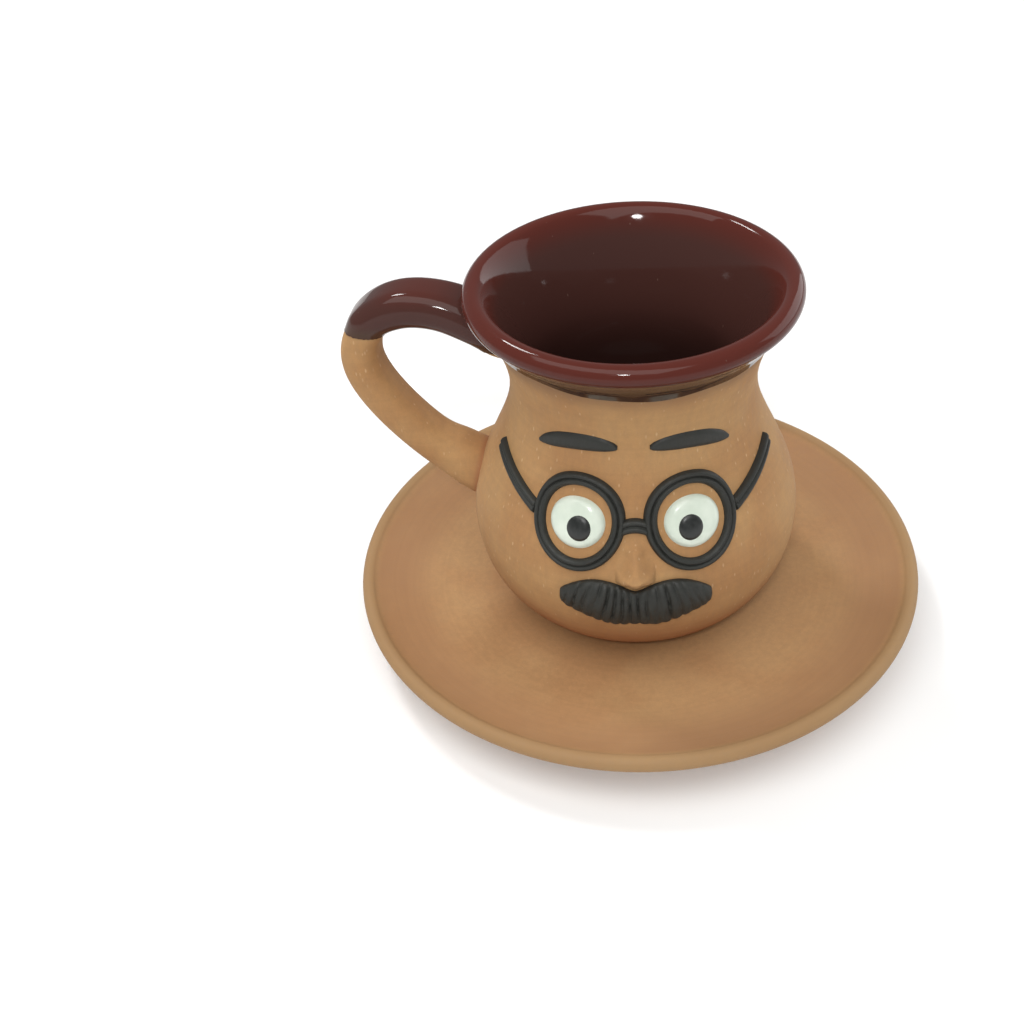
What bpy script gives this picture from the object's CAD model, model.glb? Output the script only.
# %% [markdown]
# # A clay coffee cup with a face in relief, on its saucer
#
# The real thing is a small thrown cup of unglazed terracotta. Its inside, its lip and the top bend of its
# handle were dipped in a dark brown glaze. Brows, spectacles, a nose and a moustache of clay are pressed on
# the belly, so the cup is a head, and it stands on a turned saucer of the same clay.
#
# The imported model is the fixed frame: it says where each piece is and how large it is. This file adds the
# looks around it: rounder forms, finer relief, finishes, light and a camera. Named lengths are millimetres,
# and MM turns them into metres where Blender takes them over. Lamps and floor are given in metres.

from math import atan2, cos, exp, hypot, pi, radians, sin, sqrt, tan

import bmesh
import bpy
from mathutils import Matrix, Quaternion, Vector
from mathutils.geometry import interpolate_bezier


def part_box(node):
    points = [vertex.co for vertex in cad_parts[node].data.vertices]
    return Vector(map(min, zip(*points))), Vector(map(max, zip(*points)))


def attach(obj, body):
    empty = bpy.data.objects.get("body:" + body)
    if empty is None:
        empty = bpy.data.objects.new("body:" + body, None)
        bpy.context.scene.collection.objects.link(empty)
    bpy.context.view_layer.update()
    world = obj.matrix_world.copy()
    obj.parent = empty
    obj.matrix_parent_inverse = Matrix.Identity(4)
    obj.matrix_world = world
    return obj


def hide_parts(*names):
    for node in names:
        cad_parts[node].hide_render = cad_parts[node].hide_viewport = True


MM = 0.001
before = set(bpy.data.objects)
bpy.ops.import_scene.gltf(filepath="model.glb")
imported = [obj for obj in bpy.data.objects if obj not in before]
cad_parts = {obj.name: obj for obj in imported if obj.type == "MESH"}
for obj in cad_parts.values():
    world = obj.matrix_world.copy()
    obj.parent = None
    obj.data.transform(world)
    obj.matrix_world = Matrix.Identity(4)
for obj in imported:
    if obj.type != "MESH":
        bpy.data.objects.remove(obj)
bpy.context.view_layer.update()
scene = bpy.context.scene


# %% [markdown]
# ## The camera
#
# The photograph was taken from close by and from above, with the horizon a little tilted. A camera could be
# aimed with a constraint, but a place, an aim and a roll say the same in three numbers that can be read.

# %% Set the camera
CAMERA_PLACE = Vector((0, -205.1, 192)) * MM
CAMERA_AIM = Vector((-24.5, 0, 21.9)) * MM
CAMERA_ROLL = radians(-5.1)
CAMERA_LENS = 46.8

look = (CAMERA_AIM - CAMERA_PLACE).to_track_quat("-Z", "Y")
roll = Quaternion((0, 0, 1), CAMERA_ROLL)
bpy.ops.object.camera_add(location=CAMERA_PLACE, rotation=(look @ roll).to_euler())
camera = bpy.context.object
camera.name = "photo_camera"
camera.data.lens = CAMERA_LENS
camera.data.clip_start = 10 * MM
scene.camera = camera
print("camera", round((CAMERA_AIM - CAMERA_PLACE).length / MM), "mm from the cup")


# %% [markdown]
# ## Helpers for working by hand
#
# Operators act on what is selected, so each step first takes up one piece and lays all others down. A
# finished piece has its modifiers applied and its place in its mesh, so that it stands at the origin,
# unturned and unscaled.

# %% Take up, settle and finish a piece
def take_up(piece):
    bpy.ops.object.select_all(action="DESELECT")
    piece.select_set(True)
    bpy.context.view_layer.objects.active = piece


def settle(piece):
    take_up(piece)
    bpy.ops.object.transform_apply(location=True, rotation=True, scale=True)


def apply_modifiers(piece):
    take_up(piece)
    for modifier in list(piece.modifiers):
        bpy.ops.object.modifier_apply(modifier=modifier.name)


def edit(piece):
    take_up(piece)
    bpy.ops.object.mode_set(mode="EDIT")
    bpy.ops.mesh.select_mode(type="VERT")


def leave_edit():
    bpy.ops.object.mode_set(mode="OBJECT")


def select_points(piece, wanted):
    mesh = bmesh.from_edit_mesh(piece.data)
    mesh.verts.ensure_lookup_table()
    for point in mesh.verts:
        point.select = False
    for index in wanted:
        mesh.verts[index].select = True
    mesh.select_flush(True)
    mesh.select_flush(False)
    bmesh.update_edit_mesh(piece.data)


def copy_of(piece, name):
    take_up(piece)
    bpy.ops.object.duplicate(linked=False)
    copy = bpy.context.object
    copy.name = name
    return copy


def turn_round_cup(piece, angle):
    piece.rotation_euler.z = angle
    settle(piece)


def mirror_across(piece):
    piece.scale.x = -1
    settle(piece)
    edit(piece)
    bpy.ops.mesh.select_all(action="SELECT")
    bpy.ops.mesh.normals_make_consistent(inside=False)
    leave_edit()


def hand_over(piece, body, slot, *nodes):
    take_up(piece)
    bpy.ops.object.shade_smooth_by_angle(angle=radians(50))
    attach(piece, body)
    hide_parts(*nodes)
    size = ["%.1f" % (side / MM) for side in piece.dimensions]
    print(piece.name, "stands for", ", ".join(nodes), "- mm", " x ".join(size))


# %% [markdown]
# ## Profiles for the wheel
#
# The saucer, the cup and its glaze were all made turning, so each is a profile spun round the Z axis. A
# profile could be a list of many points, but a potter's line has few decisions in it: a Bezier curve with a
# stop at the foot, the belly, the neck and the lip is easier to read and gives a smoother wall.

# %% Draw a profile and spin it
PROFILE_STEPS = 12
WHEEL_STEPS = 180
WELD = 0.002 * MM


def stop(radius, height, arrive=(0, 0), leave=(0, 0)):
    return radius * MM, height * MM, Vector(arrive) * MM, Vector(leave) * MM


def heading(angle, length):
    return length * cos(radians(angle)), length * sin(radians(angle))


def rolled_edge(radius, height, roll_radius, turns, arrive, leave):
    stops = []
    for place, turn in enumerate(turns):
        before = roll_radius * 4 / 3 * tan(radians(turn - turns[place - 1]) / 4) if place else arrive
        last = place == len(turns) - 1
        after = leave if last else roll_radius * 4 / 3 * tan(radians(turns[place + 1] - turn) / 4)
        out = heading(turn, roll_radius)
        stops.append(
            stop(radius + out[0], height + out[1], heading(turn + 90, before), heading(turn + 90, after))
        )
    return stops


def spin_profile(name, stops):
    bpy.ops.object.select_all(action="DESELECT")
    bpy.ops.curve.primitive_bezier_curve_add(location=(0, 0, 0))
    profile = bpy.context.object
    profile.name = name
    profile.data.resolution_u = PROFILE_STEPS
    line = profile.data.splines[0]
    line.bezier_points.add(len(stops) - len(line.bezier_points))
    for point, (radius, height, arrive, leave) in zip(line.bezier_points, stops):
        point.handle_left_type = "FREE"
        point.handle_right_type = "FREE"
        point.co = (radius, 0, height)
        point.handle_left = (radius - arrive.x, 0, height - arrive.y)
        point.handle_right = (radius + leave.x, 0, height + leave.y)
    take_up(profile)
    bpy.ops.object.convert(target="MESH")
    piece = bpy.context.object
    edit(piece)
    bpy.ops.mesh.select_all(action="SELECT")
    bpy.ops.mesh.spin(steps=WHEEL_STEPS, angle=2 * pi, center=(0, 0, 0), axis=(0, 0, 1))
    bpy.ops.mesh.select_all(action="SELECT")
    bpy.ops.mesh.remove_doubles(threshold=WELD)
    bpy.ops.mesh.normals_make_consistent(inside=False)
    leave_edit()
    print(name, "spun:", len(piece.data.polygons), "faces")
    return piece


# %% [markdown]
# ## Saucer
#
# The saucer is a shallow dish with a flat well for the cup, a rounded roll at its edge and a soft hollow
# just inside that roll, where a finger smoothed it on the wheel. It could be a disc pushed into shape, but
# it was turned, so it is spun.

# %% Spin the saucer
saucer_low, saucer_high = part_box("saucer")
SPARE = 0.02
SAUCER_RADIUS = saucer_high.x / MM - SPARE
SAUCER_TOP = saucer_high.z / MM
SAUCER_ROLL = 1.5
SAUCER_FLOOR = 5.5
WELL_RADIUS = 24
BASE_RADIUS = 31
OVERHANG = SAUCER_RADIUS - SAUCER_ROLL - BASE_RADIUS
DISH_SLOPE = SAUCER_RADIUS - SAUCER_ROLL - WELL_RADIUS

saucer = spin_profile(
    "saucer_dish",
    [
        stop(0, 0),
        stop(BASE_RADIUS - 1, 0, arrive=(2, 0), leave=(0.6, 0)),
        stop(BASE_RADIUS + 0.6, 0.4, arrive=heading(32, 0.4), leave=heading(32, OVERHANG * 0.3)),
        *rolled_edge(
            SAUCER_RADIUS - SAUCER_ROLL,
            SAUCER_TOP - SAUCER_ROLL,
            SAUCER_ROLL,
            [-90, 0, 90, 135],
            arrive=OVERHANG * 0.35,
            leave=SAUCER_ROLL,
        ),
        stop(WELL_RADIUS, SAUCER_FLOOR, arrive=(-DISH_SLOPE * 0.62, 0)),
        stop(0, SAUCER_FLOOR),
    ],
)
hand_over(saucer, "saucer", "saucer_clay", "saucer")


# %% [markdown]
# ## Cup wall
#
# The wall swells to a low belly, draws in to a neck at two thirds of its height and flares to a rolled lip.
# Its foot is tucked in, so a dark wedge stays between belly and saucer. The same stops give the outside
# line as points, which later pieces ask for the wall's radius at a height.

# %% Spin the cup wall
CUP_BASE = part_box("cup_body")[0].z / MM
RIM_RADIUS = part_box("glaze_lining")[1].x / MM
RIM_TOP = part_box("glaze_lining")[1].z / MM
BELLY_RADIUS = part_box("cup_body")[1].x / MM
FOOT_RADIUS = 17
FOOT_SLOPE = 13
BELLY_LEVEL = CUP_BASE + 20.3
NECK_RADIUS = 22.6
NECK_LEVEL = CUP_BASE + 49.5
WALL = 2.8
FLOOR_LEVEL = CUP_BASE + 4.5
LIP_RADIUS = 2
COAT = 0.6
LIP_CENTRE = (RIM_RADIUS - LIP_RADIUS, RIM_TOP - LIP_RADIUS)
FOOT_TO_BELLY = BELLY_LEVEL - CUP_BASE
BELLY_TO_NECK = NECK_LEVEL - BELLY_LEVEL
NECK_TO_LIP = LIP_CENTRE[1] - NECK_LEVEL
FLOOR_TO_BELLY = BELLY_LEVEL - FLOOR_LEVEL

outside_stops = [
    stop(FOOT_RADIUS, CUP_BASE, leave=heading(FOOT_SLOPE, FOOT_TO_BELLY * 0.44)),
    stop(
        BELLY_RADIUS,
        BELLY_LEVEL,
        arrive=(0, FOOT_TO_BELLY * 0.52),
        leave=(0, BELLY_TO_NECK * 0.38),
    ),
    stop(
        NECK_RADIUS,
        NECK_LEVEL,
        arrive=(0, BELLY_TO_NECK * 0.34),
        leave=(0, NECK_TO_LIP * 0.34),
    ),
]


def lip_stops(lip_radius):
    return rolled_edge(
        *LIP_CENTRE, lip_radius, [-45, 45, 135], arrive=NECK_TO_LIP * 0.26, leave=NECK_TO_LIP * 0.2
    )


def inside_stops(coat):
    return [
        stop(
            NECK_RADIUS - WALL - coat,
            NECK_LEVEL,
            arrive=(0, -NECK_TO_LIP * 0.34),
            leave=(0, -BELLY_TO_NECK * 0.34),
        ),
        stop(
            BELLY_RADIUS - WALL - coat,
            BELLY_LEVEL,
            arrive=(0, -BELLY_TO_NECK * 0.38),
            leave=(0, -FLOOR_TO_BELLY * 0.8),
        ),
        stop(0, FLOOR_LEVEL + coat, arrive=(-(BELLY_RADIUS - WALL) * 0.7, 0)),
    ]


wall_stops = [*outside_stops, *lip_stops(LIP_RADIUS - COAT)]
cup_wall = spin_profile("cup_wall", [stop(0, CUP_BASE), *wall_stops, *inside_stops(0)])

LINE_STEPS = 48
outside_line = []
for lower, upper in zip(wall_stops[:3], wall_stops[1:4]):
    outside_line += interpolate_bezier(
        Vector((lower[0], lower[1], 0)),
        Vector((lower[0] + lower[3].x, lower[1] + lower[3].y, 0)),
        Vector((upper[0] - upper[2].x, upper[1] - upper[2].y, 0)),
        Vector((upper[0], upper[1], 0)),
        LINE_STEPS,
    )


def wall_radius(height):
    for lower, upper in zip(outside_line, outside_line[1:]):
        if lower.y <= height <= upper.y and upper.y > lower.y:
            return lower.x + (upper.x - lower.x) * (height - lower.y) / (upper.y - lower.y)
    return outside_line[-1].x


hand_over(cup_wall, "cup", "cup_clay", "cup_body")


# %% [markdown]
# ## Glaze coat on the cup
#
# The cup was dipped rim down, so the glaze lines the inside, runs over the lip and ends a little way down
# the neck in a thin, slightly wavy edge. It could be painted on the wall by a mask, but a coat with its own
# thickness catches the light at its edge as real glaze does. A sheet is spun and Solidify gives it depth;
# the weights of its depth group make it run thin towards the dip line.

# %% Spin and thicken the glaze coat
DIP_LEVEL = RIM_TOP - 8.5
DIP_WAVE = 0.5
COAT_FADE = 4
EDGE_SHARE = 0.3


def ease(value, start, end):
    share = min(max((value - start) / (end - start), 0), 1)
    return share * share * (3 - 2 * share)


def weigh(piece, rule):
    depth = piece.vertex_groups.new(name="depth")
    for point in piece.data.vertices:
        depth.add([point.index], rule(point), "REPLACE")


def thicken(piece, thickness, offset, least):
    coat = piece.modifiers.new("thickness", "SOLIDIFY")
    coat.thickness = thickness * MM
    coat.offset = offset
    coat.vertex_group = "depth"
    coat.thickness_vertex_group = least
    apply_modifiers(piece)


dip_radius = wall_radius(DIP_LEVEL * MM) / MM
dip_slope = (wall_radius((DIP_LEVEL + 1) * MM) - wall_radius(DIP_LEVEL * MM)) / MM
dip_run = (LIP_CENTRE[1] - DIP_LEVEL) * 0.3
glaze_coat = spin_profile(
    "glaze_coat",
    [
        stop(dip_radius + 0.1, DIP_LEVEL, leave=(dip_slope * dip_run, dip_run)),
        *lip_stops(LIP_RADIUS),
        *inside_stops(COAT),
    ],
)


def outside_coat(point):
    height = point.co.z
    return hypot(point.co.x, point.co.y) > wall_radius(height) - 0.2 * MM and height < LIP_CENTRE[1] * MM


def above_dip(point):
    return ease(point.co.z / MM, DIP_LEVEL, DIP_LEVEL + COAT_FADE) if outside_coat(point) else 1


def wavy_dip(point):
    angle = atan2(point.co.y, point.co.x)
    wave = DIP_WAVE * (sin(2 * angle + 0.6) + 0.5 * sin(5 * angle) + 0.3 * sin(11 * angle + 1))
    return wave * (1 - above_dip(point))


for point in glaze_coat.data.vertices:
    if outside_coat(point):
        lift = hypot(point.co.x, point.co.y) - wall_radius(point.co.z)
        point.co.z += wavy_dip(point) * MM
        grow = (wall_radius(point.co.z) + lift) / hypot(point.co.x, point.co.y)
        point.co.x *= grow
        point.co.y *= grow

weigh(glaze_coat, above_dip)
thicken(glaze_coat, COAT, -1, EDGE_SHARE)
hand_over(glaze_coat, "cup", "brown_glaze", "glaze_lining")


# %% [markdown]
# ## Handle
#
# The handle is a pulled strap: it leaves the neck upwards, bends over, falls and is pressed on the belly,
# where the clay was smeared out to hold it. A curve with a bevel would give an even tube, so rings are set
# along the path instead. Each is a rounded rectangle, cut from a plane whose corners are bevelled. They turn
# with the path, spread at both roots until they lie on the wall, and are bridged. The last ring at each end
# lies inside the wall, so the rounding of the end is hidden there. At the lower root a fillet thickens the
# side of the hole, as a thumb left it there.

# %% Draw the path of the strap
UPPER_ROOT = CUP_BASE + 56
LOWER_ROOT = CUP_BASE + 25
ARCH_TOP = (39.5, CUP_BASE + 62.6)
OUTERMOST = (51.2, CUP_BASE + 51)
ROOT_DEPTH = 1.6
UPPER_SLOPE = 38
LOWER_SLOPE = 215
SPAN_PLACES = 11


def handle_path():
    upper = (wall_radius(UPPER_ROOT * MM) / MM, UPPER_ROOT)
    lower = (wall_radius(LOWER_ROOT * MM) / MM, LOWER_ROOT)
    arch = ARCH_TOP[0] - upper[0]
    turn = OUTERMOST[0] - ARCH_TOP[0]
    drop = ARCH_TOP[1] - OUTERMOST[1]
    fall = OUTERMOST[1] - LOWER_ROOT
    stops = [
        stop(*upper, leave=heading(UPPER_SLOPE, arch * 0.5)),
        stop(*ARCH_TOP, arrive=(arch * 0.35, 0), leave=(turn * 0.56, 0)),
        stop(*OUTERMOST, arrive=(0, -drop * 0.56), leave=(0, -fall * 0.28)),
        stop(*lower, arrive=heading(LOWER_SLOPE, fall * 0.44)),
    ]
    path = []
    for here, there in zip(stops, stops[1:]):
        span = interpolate_bezier(
            Vector((-here[0], 0, here[1])),
            Vector((-here[0] - here[3].x, 0, here[1] + here[3].y)),
            Vector((-there[0] + there[2].x, 0, there[1] - there[2].y)),
            Vector((-there[0], 0, there[1])),
            SPAN_PLACES,
        )
        path += span[1:] if path else span
    into_wall = Vector((ROOT_DEPTH * MM, 0, 0))
    return [path[0] + into_wall, *path, path[-1] + into_wall]


path = handle_path()
last_ring = len(path) - 1
print("handle path:", len(path), "places, from", UPPER_ROOT, "mm down to", LOWER_ROOT, "mm")

# %% Lay rings along the path and bridge them
HANDLE_TURN = radians(-6)
HALF_THICKNESS = 3.1
FALL_THICKNESS = 3.8
HALF_WIDTH = 4.7
CORNER = 0.88
CORNER_STEPS = 5
RING_POINTS = 4 * (CORNER_STEPS + 1)
UPPER_SPREAD = 1.2
LOWER_SPREAD = 1.3
FILLET = 2.2
ROOT_RUN = 12
UPPER_ROOT_END = 9
LOWER_ROOT_START = 21
THICKER_FROM = 13
THICKER_TO = 23


def lay_ring(spot, tilt, thick, wide):
    bpy.ops.object.select_all(action="DESELECT")
    bpy.ops.mesh.primitive_plane_add(size=2 * MM, location=spot, rotation=(0, tilt, 0))
    ring = bpy.context.object
    ring.scale = (thick, wide, 1)
    settle(ring)
    edit(ring)
    bpy.ops.mesh.select_all(action="SELECT")
    corner = CORNER * min(thick, wide) * MM
    bpy.ops.mesh.bevel(offset=corner, segments=CORNER_STEPS, affect="VERTICES")
    bpy.ops.mesh.select_all(action="SELECT")
    bpy.ops.mesh.delete(type="ONLY_FACE")
    leave_edit()
    return ring


for place, spot in enumerate(path):
    along = path[min(place + 1, last_ring)] - path[max(place - 1, 0)]
    lean = atan2(along.x, along.z)
    clear = (-spot.x - wall_radius(spot.z)) / MM
    by_root = place < UPPER_ROOT_END or place > LOWER_ROOT_START
    near_root = 1 - ease(clear, 0, ROOT_RUN) if by_root else 0
    upper_half = place < last_ring / 2
    wall_lean = -pi / 2 if upper_half else -3 * pi / 2
    skew = wall_lean - lean
    skew = atan2(sin(skew), cos(skew)) * near_root
    fillet = 0 if upper_half else FILLET / 2 * near_root
    spread = UPPER_SPREAD if upper_half else LOWER_SPREAD
    fallen = ease(place, THICKER_FROM, THICKER_TO)
    thick = HALF_THICKNESS + (FALL_THICKNESS - HALF_THICKNESS) * fallen
    tilt = lean + skew
    to_hole = Vector((-cos(tilt), 0, sin(tilt)))
    ring = lay_ring(
        spot + to_hole * fillet * MM,
        tilt,
        thick / cos(skew) + fillet,
        HALF_WIDTH * (1 + (spread - 1) * near_root ** 2),
    )
    if place == 0:
        handle = ring
        handle.name = "strap_handle"
    else:
        take_up(ring)
        handle.select_set(True)
        bpy.context.view_layer.objects.active = handle
        bpy.ops.object.join()

edit(handle)
for place in range(last_ring):
    select_points(handle, range(place * RING_POINTS, (place + 2) * RING_POINTS))
    bpy.ops.mesh.bridge_edge_loops()
for place in (0, last_ring):
    select_points(handle, range(place * RING_POINTS, (place + 1) * RING_POINTS))
    bpy.ops.mesh.edge_face_add()
bpy.ops.mesh.select_all(action="SELECT")
bpy.ops.mesh.normals_make_consistent(inside=False)
leave_edit()
turn_round_cup(handle, HANDLE_TURN)
print("handle:", len(path), "rings of", RING_POINTS, "points bridged")


# %% Spread the roots on the wall and soften the strap
ROOT_SINK = 0.15


def ring_points(place):
    return list(range(place * RING_POINTS, (place + 1) * RING_POINTS))


def cling(name, places, sink):
    group = handle.vertex_groups.new(name=name)
    for place in places:
        group.add(ring_points(place), 1, "REPLACE")
    wrap = handle.modifiers.new(name, "SHRINKWRAP")
    wrap.target = cup_wall
    wrap.wrap_method = "NEAREST_SURFACEPOINT"
    wrap.wrap_mode = "ABOVE_SURFACE"
    wrap.offset = -sink * MM
    wrap.vertex_group = name


cling("on_wall", (1, last_ring - 1), ROOT_SINK)
cling("in_wall", (0, last_ring), ROOT_DEPTH)


def soften(piece, levels):
    rounding = piece.modifiers.new("rounding", "SUBSURF")
    rounding.levels = levels
    rounding.render_levels = levels


soften(handle, 2)
apply_modifiers(handle)
handle.vertex_groups.clear()
hand_over(handle, "cup", "cup_clay", "handle")


# %% [markdown]
# ## Glaze coat on the handle
#
# The same dip covered the bend of the handle. The coat is a copy of the strap, cut at the dip line and
# thickened outwards, so it follows every curve below it and ends in a thin edge.

# %% Cut a coat from a copy of the strap
HANDLE_DIP = RIM_TOP - 11.5
HANDLE_DIP_TILT = Vector((0.08, 0, 1)).normalized()
HANDLE_FADE = 3
dip_point = Vector((-OUTERMOST[0], 0, HANDLE_DIP)) * MM

handle_coat = copy_of(handle, "handle_coat")
edit(handle_coat)
bpy.ops.mesh.select_all(action="SELECT")
bpy.ops.mesh.bisect(plane_co=dip_point, plane_no=HANDLE_DIP_TILT, clear_inner=True)
leave_edit()


def above_handle_dip(point):
    return ease((point.co - dip_point).dot(HANDLE_DIP_TILT) / MM, 0, HANDLE_FADE)


weigh(handle_coat, above_handle_dip)
thicken(handle_coat, COAT, 1, EDGE_SHARE)
hand_over(handle_coat, "cup", "brown_glaze", "handle_glaze")


# %% [markdown]
# ## Pads of clay pressed on the cup
#
# Brows, spectacles, nose and moustache are pads that a thumb pressed on the wall. Each starts as a flat sheet
# that stands in front of the cup. Shrinkwrap throws it on the wall, and Solidify raises it by the weights
# of its depth group, which is how the pad gets a crown, a groove or a ridge. The cup is round, so a pad is
# made at the middle of the face and then turned to its place.

# %% Stand a sheet, weigh it and press it on
SHEET_DISTANCE = 60
PAD_SINK = 0.15
EYE_LINE = CUP_BASE + 34.5


def stand_sheet(name, columns, rows, width, height, level):
    bpy.ops.object.select_all(action="DESELECT")
    bpy.ops.mesh.primitive_grid_add(
        x_subdivisions=columns,
        y_subdivisions=rows,
        size=MM,
        location=Vector((0, -SHEET_DISTANCE, level)) * MM,
        rotation=(pi / 2, 0, 0),
    )
    sheet = bpy.context.object
    sheet.name = name
    sheet.scale = (width, height, 1)
    settle(sheet)
    return sheet


def shape_columns(sheet, columns, level, rule):
    edit(sheet)
    total = len(sheet.data.vertices)
    for column in range(columns + 1):
        factor, rise = rule(2 * column / columns - 1)
        select_points(sheet, range(column, total, columns + 1))
        middle = Vector((0, -SHEET_DISTANCE, level)) * MM
        bpy.ops.transform.resize(value=(1, 1, factor), center_override=middle)
        bpy.ops.transform.translate(value=(0, 0, rise * MM))
    leave_edit()


def weigh_sheet(sheet, columns, rows, rule):
    def along_and_over(point):
        row, column = divmod(point.index, columns + 1)
        return min(max(rule(2 * column / columns - 1, 2 * row / rows - 1), 0), 1)

    weigh(sheet, along_and_over)


def press_on(sheet, target, depth, least=0.12, rounding=1, sink=PAD_SINK):
    wrap = sheet.modifiers.new("wrap", "SHRINKWRAP")
    wrap.target = target
    wrap.wrap_method = "PROJECT"
    wrap.use_project_y = True
    wrap.use_positive_direction = True
    wrap.use_negative_direction = False
    apply_modifiers(sheet)
    edit(sheet)
    bpy.ops.mesh.select_all(action="SELECT")
    bpy.ops.transform.translate(value=(0, sink * MM, 0))
    leave_edit()
    facing = sum((face.normal.y for face in sheet.data.polygons))
    if facing > 0:
        edit(sheet)
        bpy.ops.mesh.select_all(action="SELECT")
        bpy.ops.mesh.flip_normals()
        leave_edit()
    thicken(sheet, depth + sink, 1, least)
    soften(sheet, rounding)
    apply_modifiers(sheet)
    sheet.vertex_groups.clear()


def round_end(share, power):
    return sqrt(1 - 0.96 * abs(share) ** power)


# %% [markdown]
# ## Eyes
#
# The eyes are flattened drops of pale clay under a clear gloss, each with a dot of black slip. A disc is
# inset ring by ring, so its weights can follow a dome. The dots are turned a little less than the eyes, so
# the face looks straight ahead.

# %% Make one eye and turn a copy to each side
EYE_WIDTH = 10.4
EYE_HEIGHT = 8.8
EYE_DEPTH = 1.6
PUPIL_WIDTH = 4.6
PUPIL_DEPTH = 0.4
EYE_TURN = EYE_WIDTH * MM / wall_radius(EYE_LINE * MM)
GAZE_IN = 0.03
GAZE_TURN = EYE_TURN - GAZE_IN
DISC_POINTS = 48
EYE_RINGS = 9
PUPIL_RINGS = 5
SIDES = (("left", -1), ("right", 1))


def stand_disc(name, width, height, level, rings):
    bpy.ops.object.select_all(action="DESELECT")
    bpy.ops.mesh.primitive_circle_add(
        vertices=DISC_POINTS,
        radius=MM,
        fill_type="NGON",
        location=Vector((0, -SHEET_DISTANCE, level)) * MM,
        rotation=(pi / 2, 0, 0),
    )
    disc = bpy.context.object
    disc.name = name
    edit(disc)
    bpy.ops.mesh.select_all(action="SELECT")
    for ring in range(rings):
        bpy.ops.mesh.inset(thickness=MM / (rings + 1), use_even_offset=False)
    bpy.ops.mesh.poke()
    leave_edit()
    disc.scale = (width / 2, height / 2, 1)
    settle(disc)
    return disc


def dome(width, height, level):
    def rule(point):
        across = point.co.x / (width / 2 * MM)
        up = (point.co.z - level * MM) / (height / 2 * MM)
        return sqrt(max(1 - across * across - up * up, 0))

    return rule


eye = stand_disc("eye_left", EYE_WIDTH, EYE_HEIGHT, EYE_LINE, EYE_RINGS)
weigh(eye, dome(EYE_WIDTH, EYE_HEIGHT, EYE_LINE))
press_on(eye, cup_wall, EYE_DEPTH)
pupil = stand_disc("pupil_dot_left", PUPIL_WIDTH, PUPIL_WIDTH, EYE_LINE, PUPIL_RINGS)
weigh(pupil, dome(PUPIL_WIDTH, PUPIL_WIDTH, EYE_LINE))
press_on(pupil, eye, PUPIL_DEPTH)
eyes = [eye, copy_of(eye, "eye_right")]
pupils = [pupil, copy_of(pupil, "pupil_dot_right")]
for (side, sign), white, dot in zip(SIDES, eyes, pupils):
    turn_round_cup(white, sign * EYE_TURN)
    turn_round_cup(dot, sign * GAZE_TURN)
    hand_over(white, "cup", "white_glaze", "eye_white_" + side)
    hand_over(dot, "cup", "black_clay", "pupil_" + side)


# %% [markdown]
# ## Spectacles
#
# The rims, the bridge and the arms are flat straps of black clay with a line drawn along their middle. A
# circle is extruded outwards ring by ring; the ring in the middle weighs less, so it becomes the drawn line.

# %% Extrude the rims and press them on
RIM_INNER = EYE_WIDTH / 2 + 1
STRAP = 2.4
STRAP_DEPTH = 1.1
STRAP_SHARES = (0, 0.1, 0.25, 0.4, 0.46, 0.5, 0.54, 0.6, 0.75, 0.9, 1)
GROOVE = 0.5
RIM_POINTS = 72


def strap_weight(over):
    edge = 1 - abs(over) ** 5
    groove = GROOVE * exp(-((over / 0.14) ** 2))
    return edge - groove


bpy.ops.object.select_all(action="DESELECT")
bpy.ops.mesh.primitive_circle_add(
    vertices=RIM_POINTS,
    radius=RIM_INNER * MM,
    location=Vector((0, -SHEET_DISTANCE, EYE_LINE)) * MM,
    rotation=(pi / 2, 0, 0),
)
rim = bpy.context.object
rim.name = "spectacle_ring_left"
settle(rim)
edit(rim)
bpy.ops.mesh.select_all(action="SELECT")
rim_middle = Vector((0, -SHEET_DISTANCE, EYE_LINE)) * MM
for share, wider in zip(STRAP_SHARES, STRAP_SHARES[1:]):
    factor = (RIM_INNER + STRAP * wider) / (RIM_INNER + STRAP * share)
    bpy.ops.mesh.extrude_edges_move()
    bpy.ops.transform.resize(value=(factor, 1, factor), center_override=rim_middle)
leave_edit()


def rim_weight(point):
    reach = hypot(point.co.x, point.co.z - EYE_LINE * MM) / MM
    return max(strap_weight(2 * (reach - RIM_INNER) / STRAP - 1), 0)


weigh(rim, rim_weight)
press_on(rim, cup_wall, STRAP_DEPTH)
rims = [rim, copy_of(rim, "spectacle_ring_right")]
for (side, sign), ring in zip(SIDES, rims):
    turn_round_cup(ring, sign * EYE_TURN)
    hand_over(ring, "cup", "black_clay", "spectacle_rim_" + side)

# %% Press on the bridge and the arms
ARM_RISE = 5
ARM_START = EYE_TURN + (RIM_INNER + STRAP) * MM / wall_radius(EYE_LINE * MM)
ARM_END = radians(70)
ARM_MIDDLE = (ARM_START + ARM_END) / 2
ARM_LEVEL = EYE_LINE + ARM_RISE / 2
ARM_LENGTH = 2 * wall_radius(ARM_LEVEL * MM) / MM * sin((ARM_END - ARM_START) / 2) + 0.6
BRIDGE_LENGTH = 2 * (EYE_WIDTH - RIM_INNER - STRAP) + 0.8
BRIDGE_WIDTH = 2.6
BRIDGE_ARCH = 0.5
BRIDGE_COLUMNS = 12
ARM_COLUMNS = 24
STRAP_ROWS = 14

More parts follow.
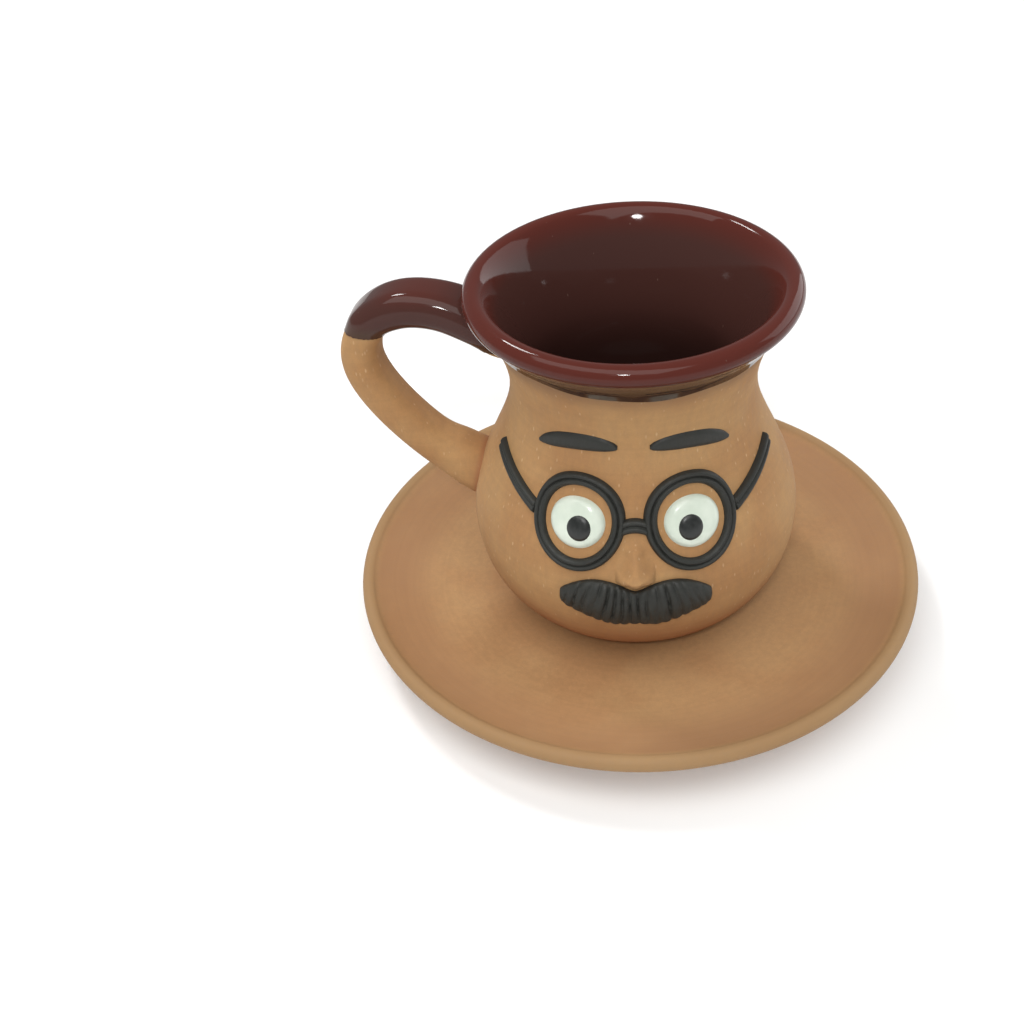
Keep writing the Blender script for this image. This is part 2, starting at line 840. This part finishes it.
bridge = stand_sheet(
    "spectacle_nosepiece", BRIDGE_COLUMNS, STRAP_ROWS, BRIDGE_LENGTH, BRIDGE_WIDTH, EYE_LINE
)
shape_columns(bridge, BRIDGE_COLUMNS, EYE_LINE, lambda along: (1, BRIDGE_ARCH * (1 - along * along)))
weigh_sheet(bridge, BRIDGE_COLUMNS, STRAP_ROWS, lambda along, over: strap_weight(over))
press_on(bridge, cup_wall, STRAP_DEPTH)
hand_over(bridge, "cup", "black_clay", "spectacle_bridge")

arm = stand_sheet("spectacle_temple_right", ARM_COLUMNS, STRAP_ROWS, ARM_LENGTH, STRAP, ARM_LEVEL)
shape_columns(arm, ARM_COLUMNS, ARM_LEVEL, lambda along: (1, along * ARM_RISE / 2))
weigh_sheet(arm, ARM_COLUMNS, STRAP_ROWS, lambda along, over: strap_weight(over))
press_on(arm, cup_wall, STRAP_DEPTH)
other_arm = copy_of(arm, "spectacle_temple_left")
mirror_across(other_arm)
turn_round_cup(arm, ARM_MIDDLE)
turn_round_cup(other_arm, -ARM_MIDDLE)
hand_over(arm, "cup", "black_clay", "spectacle_arm_right")
hand_over(other_arm, "cup", "black_clay", "spectacle_arm_left")


# %% [markdown]
# ## Brows
#
# The brows are thick strokes of black slip. A sheet is shaped column by column: its ends are drawn in, it
# arches, and it drops a little to the outside.

# %% Shape and press on the brows
BROW_LENGTH = 15
BROW_WIDTH = 3.6
BROW_DEPTH = 0.6
BROW_GAP = 1.4
BROW_ARCH = 1.2
BROW_DROOP = 2.4
BROW_LEVEL = EYE_LINE + RIM_INNER + STRAP + BROW_GAP + BROW_DROOP + BROW_WIDTH / 2
BROW_TURN = EYE_WIDTH * MM / wall_radius(BROW_LEVEL * MM)
BROW_COLUMNS = 30
BROW_ROWS = 8


def brow_line(along):
    return round_end(along, 2.4), BROW_ARCH * (1 - along * along) - BROW_DROOP * (along + 1) / 2


brow = stand_sheet("brow_stroke_right", BROW_COLUMNS, BROW_ROWS, BROW_LENGTH, BROW_WIDTH, BROW_LEVEL)
shape_columns(brow, BROW_COLUMNS, BROW_LEVEL, brow_line)
weigh_sheet(brow, BROW_COLUMNS, BROW_ROWS, lambda along, over: 1 - over ** 4)
press_on(brow, cup_wall, BROW_DEPTH)
other_brow = copy_of(brow, "brow_stroke_left")
mirror_across(other_brow)
turn_round_cup(brow, BROW_TURN)
turn_round_cup(other_brow, -BROW_TURN)
hand_over(brow, "cup", "black_clay", "brow_right")
hand_over(other_brow, "cup", "black_clay", "brow_left")


# %% [markdown]
# ## Nose
#
# The nose was pinched from a lump of the cup's own clay: a narrow ridge, a round tip and two small wings. Its
# sheet weighs nothing at its border, so the clay rises out of the wall without a seam.

# %% Weigh the nose and press it on
PIECE_GAP = 0.35
NOSE_BASE = CUP_BASE + 24.35
NOSE_TOP = EYE_LINE - BRIDGE_WIDTH / 2 - PIECE_GAP
NOSE_LENGTH = NOSE_TOP - NOSE_BASE
NOSE_WIDTH = 8
NOSE_DEPTH = 3.6
NOSE_COLUMNS = 32
NOSE_ROWS = 36
NOSE_LEVEL = (NOSE_BASE + NOSE_TOP) / 2


def hill(distance, reach):
    return exp(-((distance / reach) ** 2))


def nose_weight(across, up):
    x = across * NOSE_WIDTH / 2
    share = (up + 1) / 2
    ridge = hill(x, 1.5) * (0.3 + 0.55 * (1 - share)) * ease(share, 1, 0.7) * ease(share, 0.08, 0.25)
    tip = 0.95 * hill(x, 2) * hill((share - 0.25) * NOSE_LENGTH, 2.4)
    wings = 0.5 * hill(abs(x) - 2.2, 1.1) * hill((share - 0.2) * NOSE_LENGTH, 1.3)
    border = ease(1 - abs(across), 0, 0.25) * ease(1 - abs(up), 0, 0.2)
    return max(ridge, tip, wings, (ridge + tip + wings) * 0.75) * border


nose = stand_sheet("nose_pinch", NOSE_COLUMNS, NOSE_ROWS, NOSE_WIDTH, NOSE_LENGTH, NOSE_LEVEL)
weigh_sheet(nose, NOSE_COLUMNS, NOSE_ROWS, nose_weight)
press_on(nose, cup_wall, NOSE_DEPTH, least=0.01)
hand_over(nose, "cup", "cup_clay", "nose")


# %% [markdown]
# ## Moustache
#
# The moustache is the thickest pad, two lobes combed with a needle in rays that spread below the nose. The
# columns of its sheet are the rays: each is turned a little about its middle, drawn in towards the tips, and
# the weights carry a swelling with a groove between each pair of strokes.

# %% Comb the moustache and press it on
MOUSTACHE_WIDTH = 27
MOUSTACHE_HEIGHT = 9.5
MOUSTACHE_DEPTH = 2.4
MOUSTACHE_LEVEL = NOSE_BASE - PIECE_GAP - MOUSTACHE_HEIGHT / 2
COMBS = 17
COMB_COLUMNS = COMBS * 8
COMB_ROWS = 22
COMB_DEPTH = 0.5
LOBE_LIFT = 2
FAN = radians(24)


def parted(along):
    return 1 - 0.2 * hill(along, 0.2)


def moustache_line(along):
    return round_end(along, 2.4) * parted(along), LOBE_LIFT * hill(abs(along) - 0.7, 0.45)


def moustache_weight(along, over):
    swell = sqrt(1 - 0.9 * over * over) * round_end(along, 4) * parted(along)
    stroke = COMBS * pi * (along + 1) + 1.2 * sin(6 * along + 1) + 0.6 * sin(3 * over + 8 * along)
    comb = abs(sin(stroke / 2)) ** 0.5
    lull = 0.7 + 0.3 * sin(3.7 * COMBS * along)
    return swell * (1 - COMB_DEPTH * lull * (1 - comb))


moustache = stand_sheet(
    "moustache_combed", COMB_COLUMNS, COMB_ROWS, MOUSTACHE_WIDTH, MOUSTACHE_HEIGHT, MOUSTACHE_LEVEL
)
edit(moustache)
for column in range(COMB_COLUMNS + 1):
    along = 2 * column / COMB_COLUMNS - 1
    select_points(moustache, range(column, len(moustache.data.vertices), COMB_COLUMNS + 1))
    foot = Vector((along * MOUSTACHE_WIDTH / 2, -SHEET_DISTANCE, MOUSTACHE_LEVEL)) * MM
    turn = FAN * along * (1 - along ** 4)
    bpy.ops.transform.rotate(value=turn, orient_axis="Y", center_override=foot)
leave_edit()
shape_columns(moustache, COMB_COLUMNS, MOUSTACHE_LEVEL, moustache_line)
weigh_sheet(moustache, COMB_COLUMNS, COMB_ROWS, moustache_weight)
press_on(moustache, cup_wall, MOUSTACHE_DEPTH)
hand_over(moustache, "cup", "black_clay", "moustache")


# %% [markdown]
# ## Finishes
#
# A finish is a tree of nodes that turns a place on the piece into a colour, a roughness and a height.
# Patterns read Object coordinates, so they have a real size in millimetres and stay with the clay when it
# moves. What more than one finish needs is a node group: it is built once and placed in each of them.

# %% Helpers for node trees
def put(tree, kind, inputs=None, **settings):
    node = tree.nodes.new(kind)
    for name, value in settings.items():
        setattr(node, name, value)
    for name, value in (inputs or {}).items():
        if isinstance(value, bpy.types.NodeSocket):
            tree.links.new(value, node.inputs[name])
        else:
            node.inputs[name].default_value = value
    return node


def on_piece(tree):
    return put(tree, "ShaderNodeTexCoord").outputs["Object"]


def cloud(tree, where, size, detail=2, roughness=0.5):
    inputs = {"Vector": where, "Scale": 1 / (size * MM), "Detail": detail, "Roughness": roughness}
    return put(tree, "ShaderNodeTexNoise", inputs).outputs[0]


def cells(tree, where, size):
    node = put(tree, "ShaderNodeTexVoronoi", {"Vector": where, "Scale": 1 / (size * MM)})
    return node.outputs["Distance"], node.outputs["Color"]


def remap(tree, value, low, high, start=0.0, end=1.0):
    inputs = {"Value": value, "From Min": low, "From Max": high, "To Min": start, "To Max": end}
    return put(tree, "ShaderNodeMapRange", inputs, interpolation_type="SMOOTHSTEP").outputs[0]


def reckon(tree, operation, first, second):
    return put(tree, "ShaderNodeMath", {0: first, 1: second}, operation=operation).outputs[0]


def mingle(tree, share, first, second, mode="MIX"):
    node = put(tree, "ShaderNodeMix", {0: share, 6: first, 7: second}, data_type="RGBA", blend_type=mode)
    return node.outputs[2]


def start_group(name, takes, gives):
    group = bpy.data.node_groups.new(name, "ShaderNodeTree")
    for label, kind in takes:
        group.interface.new_socket(label, in_out="INPUT", socket_type=kind)
    for label, kind in gives:
        group.interface.new_socket(label, in_out="OUTPUT", socket_type=kind)
    return group, group.nodes.new("NodeGroupInput"), group.nodes.new("NodeGroupOutput")


def use_group(tree, group, inputs=None):
    node = tree.nodes.new("ShaderNodeGroup")
    node.node_tree = group
    for name, value in (inputs or {}).items():
        if isinstance(value, bpy.types.NodeSocket):
            tree.links.new(value, node.inputs[name])
        else:
            node.inputs[name].default_value = value
    return node.outputs


def start_finish(name):
    finish = bpy.data.materials.new(name)
    finish.use_nodes = True
    return finish, finish.node_tree, finish.node_tree.nodes["Principled BSDF"]


def raise_surface(tree, shader, height, depth, strength):
    inputs = {"Height": height, "Distance": depth * MM, "Strength": strength}
    tree.links.new(put(tree, "ShaderNodeBump", inputs).outputs[0], shader.inputs["Normal"])


def dress(finish, *pieces):
    for piece in pieces:
        piece.data.materials.clear()
        piece.data.materials.append(finish)
    print(finish.name, "on", ", ".join(piece.name for piece in pieces))


COLOUR = "NodeSocketColor"
VALUE = "NodeSocketFloat"


# %% [markdown]
# ### Fired clay
#
# Terracotta is never one colour: the fire leaves broad clouds of paler and more toasted clay, the body has a
# fine streaky mottle and grain, and here and there a flake of mica shines through. Strong noise would look
# like wood, so each layer changes the tone by a few hundredths only. The group mixes the layers and gives the
# colour and the height of the grain.

# %% Build the clay group
MICA = (0.68, 0.48, 0.27, 1)

clay_group, clay_in, clay_out = start_group(
    "fired_clay",
    [("Pale", COLOUR), ("Toasted", COLOUR), ("Flecks", VALUE)],
    [("Color", COLOUR), ("Height", VALUE)],
)
where = on_piece(clay_group)
drawn = put(clay_group, "ShaderNodeMapping", {"Vector": where, "Scale": (1, 1, 0.4)}).outputs[0]
broad = remap(clay_group, cloud(clay_group, where, 17, 3), 0.35, 0.65)
tone = mingle(clay_group, broad, clay_in.outputs["Toasted"], clay_in.outputs["Pale"])
mottle = cloud(clay_group, drawn, 1.1, 3, 0.6)
mottled = mingle(clay_group, 1, tone, remap(clay_group, mottle, 0.3, 0.7, 0.95, 1.05), "MULTIPLY")
grain = cloud(clay_group, where, 0.28, 2)
grained = mingle(clay_group, 1, mottled, remap(clay_group, grain, 0.3, 0.7, 0.97, 1.03), "MULTIPLY")
distance, kind = cells(clay_group, drawn, 0.8)
chosen = remap(clay_group, kind, 0.55, 0.95)
fleck = reckon(clay_group, "MULTIPLY", remap(clay_group, distance, 0.3, 0.1), chosen)
fleck = reckon(clay_group, "MULTIPLY", fleck, clay_in.outputs["Flecks"])
flecked = mingle(clay_group, fleck, grained, MICA)
height = reckon(clay_group, "ADD", mottle, reckon(clay_group, "MULTIPLY", grain, 0.6))
clay_group.links.new(flecked, clay_out.inputs["Color"])
clay_group.links.new(height, clay_out.inputs["Height"])
print("group", clay_group.name, "with", len(clay_group.nodes), "nodes")


# %% [markdown]
# ### Lines from the wheel
#
# A thrown wall carries fine level lines from the fingers, and a turned dish carries rings. Both are one
# dimension of noise: along the height on the cup, along the radius on the saucer.

# %% Build the wheel lines group
lines_group, lines_in, lines_out = start_group(
    "wheel_lines", [("Along", VALUE), ("Wobble", VALUE)], [("Line", VALUE)]
)
drift = cloud(lines_group, on_piece(lines_group), 30)
wobble = reckon(lines_group, "MULTIPLY", drift, lines_in.outputs["Wobble"])
along = reckon(lines_group, "ADD", lines_in.outputs["Along"], wobble)
lines = put(
    lines_group,
    "ShaderNodeTexNoise",
    {"W": along, "Scale": 1 / (1.1 * MM), "Detail": 3, "Roughness": 0.6},
    noise_dimensions="1D",
)
lines_group.links.new(lines.outputs[0], lines_out.inputs["Line"])
print("group", lines_group.name, "with", len(lines_group.nodes), "nodes")

# %% [markdown]
# ### Clay of the cup
#
# The belly is more toasted towards the foot, where it stood closest to the fire, and the seam where the
# handle was pressed on stayed redder, because no finger smoothed it. Just below the dip line the clay
# soaked up some glaze and is browner. The seam follows the handle and the soaked band only the outside of
# the cup, so both go on their piece as an attribute.

# %% Mark the seam and the soaked band, finish the cup's clay
SEAM_RUN = 1.5
SOAK_RUN = 4.5


def mark(piece, name, rule):
    values = piece.data.attributes.new(name, "FLOAT", "POINT")
    for point in piece.data.vertices:
        values.data[point.index].value = rule(point)


def near_wall(point):
    clear = hypot(point.co.x, point.co.y) - wall_radius(point.co.z)
    return 1 - ease(clear / MM, 0.1, SEAM_RUN)


def near_dip(point):
    return ease(point.co.z / MM, DIP_LEVEL - SOAK_RUN, DIP_LEVEL)


mark(handle, "seam", near_wall)
mark(cup_wall, "soak", near_dip)

CLAY_PALE = (0.455, 0.26, 0.108, 1)
CLAY_TOASTED = (0.395, 0.205, 0.081, 1)
CLAY_SCORCHED = (0.33, 0.13, 0.054, 1)
CLAY_SOAKED = (0.19, 0.105, 0.055, 1)

cup_clay, tree, shader = start_finish("cup_terracotta")
clay = use_group(tree, clay_group, {"Pale": CLAY_PALE, "Toasted": CLAY_TOASTED, "Flecks": 0.5})
seam = put(tree, "ShaderNodeAttribute", attribute_name="seam").outputs["Fac"]
soak = put(tree, "ShaderNodeAttribute", attribute_name="soak").outputs["Fac"]
level = put(tree, "ShaderNodeSeparateXYZ", {0: on_piece(tree)}).outputs["Z"]
line = use_group(tree, lines_group, {"Along": level, "Wobble": 1.5 * MM})["Line"]
low = remap(tree, level, 24 * MM, 9 * MM)
patchy = remap(tree, cloud(tree, on_piece(tree), 14, 3), 0.3, 0.7, 0.55, 0.95)
scorch = reckon(tree, "MULTIPLY", low, patchy)
scorch = reckon(tree, "MAXIMUM", scorch, reckon(tree, "MULTIPLY", seam, 0.7))
scorched = mingle(tree, scorch, clay["Color"], CLAY_SCORCHED)
soaked = mingle(tree, reckon(tree, "MULTIPLY", soak, 0.6), scorched, CLAY_SOAKED)
lined = mingle(tree, 1, soaked, remap(tree, line, 0.3, 0.7, 0.98, 1.02), "MULTIPLY")
relief = reckon(tree, "ADD", clay["Height"], reckon(tree, "MULTIPLY", line, 0.5))
tree.links.new(lined, shader.inputs["Base Color"])
tree.links.new(remap(tree, clay["Height"], 0.5, 1.1, 0.72, 0.9), shader.inputs["Roughness"])
raise_surface(tree, shader, relief, 0.05, 0.4)
dress(cup_clay, cup_wall, handle, nose)


# %% [markdown]
# ### Clay of the saucer
#
# The saucer is the same clay, smoothed on the wheel, so it shows fewer flecks. The hollow inside its roll
# is browner and the roll itself has its own tone. Both follow the distance from the axis, which is cheaper
# and more even than a painted mask.

# %% Finish the saucer's clay
SAUCER_PALE = (0.455, 0.262, 0.116, 1)
SAUCER_TOASTED = (0.415, 0.223, 0.095, 1)
SAUCER_BAND = (0.345, 0.178, 0.082, 1)
SAUCER_EDGE = (0.315, 0.19, 0.084, 1)

saucer_clay, tree, shader = start_finish("saucer_terracotta")
clay = use_group(tree, clay_group, {"Pale": SAUCER_PALE, "Toasted": SAUCER_TOASTED, "Flecks": 0.1})
parts = put(tree, "ShaderNodeSeparateXYZ", {0: on_piece(tree)}).outputs
flat = put(tree, "ShaderNodeCombineXYZ", {"X": parts["X"], "Y": parts["Y"]}).outputs[0]
reach = put(tree, "ShaderNodeVectorMath", {0: flat}, operation="LENGTH").outputs["Value"]
rising = remap(tree, reach, 37 * MM, 49 * MM)
hollow = reckon(tree, "MULTIPLY", rising, remap(tree, reach, 53.5 * MM, 52 * MM))
patchy = remap(tree, cloud(tree, on_piece(tree), 18, 2), 0.3, 0.7, 0.45, 0.8)
banded = mingle(tree, reckon(tree, "MULTIPLY", hollow, patchy), clay["Color"], SAUCER_BAND)
edged = mingle(tree, remap(tree, reach, 52.5 * MM, 54 * MM, 0, 0.7), banded, SAUCER_EDGE)
line = use_group(tree, lines_group, {"Along": reach, "Wobble": 0.6 * MM})["Line"]
lined = mingle(tree, 1, edged, remap(tree, line, 0.3, 0.7, 0.985, 1.015), "MULTIPLY")
relief = reckon(tree, "ADD", clay["Height"], reckon(tree, "MULTIPLY", line, 0.5))
tree.links.new(lined, shader.inputs["Base Color"])
tree.links.new(remap(tree, clay["Height"], 0.5, 1.1, 0.64, 0.8), shader.inputs["Roughness"])
raise_surface(tree, shader, relief, 0.03, 0.35)
dress(saucer_clay, saucer)


# %% [markdown]
# ### Brown glaze
#
# The glaze is a dark red-brown glass. It is deepest where it pooled, opens to a warmer tone over the lip,
# hangs as a dark bead below it and runs thin and honey-coloured at the dip line. Its skin has a faint
# waviness and a few pinholes. Where it hangs and how thin it is go on the coat itself as attributes,
# because height alone can't tell inside from outside. Its mirror is weaker than that of plain glass,
# because the studio is white all round and would veil it.

# %% Mark the thin edge and finish the glaze
HONEY_RUN = 3.5
BEAD_LOW = RIM_TOP - 5
BEAD_HIGH = RIM_TOP - 2.4
GLAZE_MIRROR = 0.2


def cup_thin(point):
    return 1 - ease(point.co.z / MM, DIP_LEVEL - 0.5, DIP_LEVEL + HONEY_RUN) if outside_coat(point) else 0


def handle_thin(point):
    return 1 - ease((point.co - dip_point).dot(HANDLE_DIP_TILT) / MM, 0, HONEY_RUN)


def under_lip(point):
    return 1 - ease(point.co.z / MM, BEAD_LOW, BEAD_HIGH) if outside_coat(point) else 0


mark(glaze_coat, "under", under_lip)
mark(glaze_coat, "thin", cup_thin)
mark(handle_coat, "thin", handle_thin)

GLAZE_DEEP = (0.115, 0.056, 0.046, 1)
GLAZE_WALL = (0.068, 0.0265, 0.0215, 1)
GLAZE_LIP = (0.095, 0.021, 0.0148, 1)
GLAZE_BEAD = (0.03, 0.012, 0.009, 1)
GLAZE_HONEY = (0.07, 0.037, 0.021, 1)
GLAZE_SPECK = (0.17, 0.1, 0.08, 1)

brown_glaze, tree, shader = start_finish("brown_glaze")
shader.inputs["Specular IOR Level"].default_value = GLAZE_MIRROR
where = on_piece(tree)
level = put(tree, "ShaderNodeSeparateXYZ", {0: where}).outputs["Z"]
pooled = mingle(tree, remap(tree, level, 14 * MM, 56 * MM), GLAZE_DEEP, GLAZE_WALL)
over_lip = mingle(tree, remap(tree, level, 69 * MM, 74 * MM), pooled, GLAZE_LIP)
under = put(tree, "ShaderNodeAttribute", attribute_name="under").outputs["Fac"]
beaded = mingle(tree, under, over_lip, GLAZE_BEAD)
thin = put(tree, "ShaderNodeAttribute", attribute_name="thin").outputs["Fac"]
run = remap(tree, cloud(tree, where, 3, 3), 0.25, 0.75, 0.5, 1.0)
honeyed = mingle(tree, reckon(tree, "MULTIPLY", thin, run), beaded, GLAZE_HONEY)
drawn = put(tree, "ShaderNodeMapping", {"Vector": where, "Scale": (1, 1, 0.35)}).outputs[0]
distance, kind = cells(tree, drawn, 1.7)
chosen = reckon(tree, "GREATER_THAN", kind, 0.68)
speck = reckon(tree, "MULTIPLY", remap(tree, distance, 0.09, 0.04), chosen)
specked = mingle(tree, reckon(tree, "MULTIPLY", speck, 0.6), honeyed, GLAZE_SPECK)
waves = cloud(tree, where, 6, 2)
skin = reckon(tree, "SUBTRACT", waves, reckon(tree, "MULTIPLY", speck, 0.1))
tree.links.new(specked, shader.inputs["Base Color"])
tree.links.new(remap(tree, cloud(tree, where, 2, 3), 0.3, 0.7, 0.05, 0.1), shader.inputs["Roughness"])
raise_surface(tree, shader, skin, 0.1, 0.3)
dress(brown_glaze, glaze_coat, handle_coat)


# %% [markdown]
# ### Black slip and the eyes
#
# The black pads are clay stained with iron: a matte greenish charcoal with brush streaks, worn brown where
# it stands proud. The pupils are the same slip, burnished. The eyes are white slip under a clear gloss.

# %% Build the slip group and finish the black pads
SLIP_BLACK = (0.019, 0.02, 0.0165, 1)
SLIP_WORN = (0.045, 0.038, 0.026, 1)
PUPIL_BLACK = (0.017, 0.019, 0.018, 1)
PUPIL_WORN = (0.022, 0.023, 0.02, 1)

slip_group, slip_in, slip_out = start_group(
    "black_slip", [("Slip", COLOUR), ("Worn", COLOUR)], [("Color", COLOUR), ("Height", VALUE)]
)
where = on_piece(slip_group)
stretched = put(slip_group, "ShaderNodeMapping", {"Vector": where, "Scale": (1, 1, 0.3)}).outputs[0]
streak = cloud(slip_group, stretched, 0.5, 3, 0.6)
patch = cloud(slip_group, where, 3.5, 4, 0.65)
tone = mingle(
    slip_group, 1, slip_in.outputs["Slip"], remap(slip_group, streak, 0.3, 0.7, 0.8, 1.25), "MULTIPLY"
)
worn = remap(slip_group, patch, 0.6, 0.78, 0, 0.5)
slip_group.links.new(mingle(slip_group, worn, tone, slip_in.outputs["Worn"]), slip_out.inputs["Color"])
slip_group.links.new(streak, slip_out.inputs["Height"])
print("group", slip_group.name, "with", len(slip_group.nodes), "nodes")

black_slip, tree, shader = start_finish("black_slip")
slip = use_group(tree, slip_group, {"Slip": SLIP_BLACK, "Worn": SLIP_WORN})
tree.links.new(slip["Color"], shader.inputs["Base Color"])
tree.links.new(remap(tree, slip["Height"], 0.3, 0.7, 0.5, 0.7), shader.inputs["Roughness"])
raise_surface(tree, shader, slip["Height"], 0.06, 0.5)
dress(black_slip, *rims, bridge, arm, other_arm, brow, other_brow, moustache)

pupil_slip, tree, shader = start_finish("burnished_slip")
slip = use_group(tree, slip_group, {"Slip": PUPIL_BLACK, "Worn": PUPIL_WORN})
tree.links.new(slip["Color"], shader.inputs["Base Color"])
tree.links.new(remap(tree, slip["Height"], 0.3, 0.7, 0.28, 0.4), shader.inputs["Roughness"])
raise_surface(tree, shader, slip["Height"], 0.02, 0.3)
dress(pupil_slip, *pupils)

# %% Finish the eyes
EYE_DIM = (0.66, 0.74, 0.63, 1)
EYE_MILK = (0.76, 0.83, 0.72, 1)

eye_glaze, tree, shader = start_finish("white_gloss")
where = on_piece(tree)
milk = remap(tree, cloud(tree, where, 4, 3), 0.3, 0.7)
tree.links.new(mingle(tree, milk, EYE_DIM, EYE_MILK), shader.inputs["Base Color"])
tree.links.new(remap(tree, cloud(tree, where, 1, 2), 0.3, 0.7, 0.16, 0.26), shader.inputs["Roughness"])
raise_surface(tree, shader, cloud(tree, where, 2, 2), 0.05, 0.3)
dress(eye_glaze, *eyes)


# %% [markdown]
# ## Floor and light
#
# A pale floor carries the shadow. Seen by the camera or in the glaze it gets a little extra light from its
# own paint, so it is white up to the top of the picture, while the light that it throws on the cup stays
# plain. A wide soft box overhead gives the even light, a round lamp behind the camera draws the streaks on
# the lip and the handle, a window on the right is mirrored on the inner wall, and a lamp at the back
# throws the shadow forwards to the right. The sky gives a low light of its own and looks white where the
# floor ends.

# %% Lay the floor
FLOOR_WHITE = (0.9, 0.9, 0.9, 1)
FLOOR_LIFT = 0.06
FLOOR_SIZE = 2.4

bpy.ops.object.select_all(action="DESELECT")
bpy.ops.mesh.primitive_plane_add(size=FLOOR_SIZE, location=(0, 0, 0))
floor = bpy.context.object
floor.name = "floor"
floor_paint, tree, shader = start_finish("floor_paint")
shader.inputs["Base Color"].default_value = FLOOR_WHITE
shader.inputs["Roughness"].default_value = 0.9
shader.inputs["Emission Color"].default_value = (1, 1, 1, 1)
rays = put(tree, "ShaderNodeLightPath").outputs
seen = reckon(tree, "MAXIMUM", rays["Is Camera Ray"], rays["Is Glossy Ray"])
seen = reckon(tree, "MAXIMUM", seen, rays["Is Transmission Ray"])
tree.links.new(reckon(tree, "MULTIPLY", seen, FLOOR_LIFT), shader.inputs["Emission Strength"])
dress(floor_paint, floor)


# %% Set the lights
CUP_MIDDLE = Vector((0, 0, 40)) * MM
SKY_LIGHT = 0.34
SKY_WHITE = (0.98, 0.99, 1, 1)


def shine(name, spot, shape, size, height, power, colour=(1, 1, 1)):
    direction = (CUP_MIDDLE - Vector(spot)).to_track_quat("-Z", "Y")
    bpy.ops.object.light_add(type="AREA", location=spot, rotation=direction.to_euler())
    lamp = bpy.context.object
    lamp.name = name
    lamp.data.shape = shape
    lamp.data.size = size
    lamp.data.size_y = height
    lamp.data.energy = power
    lamp.data.color = colour
    print(name, "of", power, "W at", spot)


shine("soft_box", (-0.3, -0.55, 1.8), "RECTANGLE", 2.4, 1.2, 23, (1, 0.985, 0.96))
shine("round_lamp", (-0.1, -0.92, 1), "ELLIPSE", 0.15, 0.13, 4.5)
shine("window", (0.95, 0.6, 0.45), "RECTANGLE", 1.2, 0.7, 5, (0.97, 0.99, 1))
shine("back_lamp", (-0.75, 0.85, 1.5), "RECTANGLE", 0.3, 0.3, 8.5)

world = bpy.data.worlds.new("studio")
world.use_nodes = True
sky = world.node_tree.nodes["Background"]
sky.inputs["Color"].default_value = SKY_WHITE
camera_ray = put(world.node_tree, "ShaderNodeLightPath").outputs["Is Camera Ray"]
world.node_tree.links.new(remap(world.node_tree, camera_ray, 0, 1, SKY_LIGHT, 1), sky.inputs["Strength"])
scene.world = world
scene.view_settings.view_transform = "Standard"
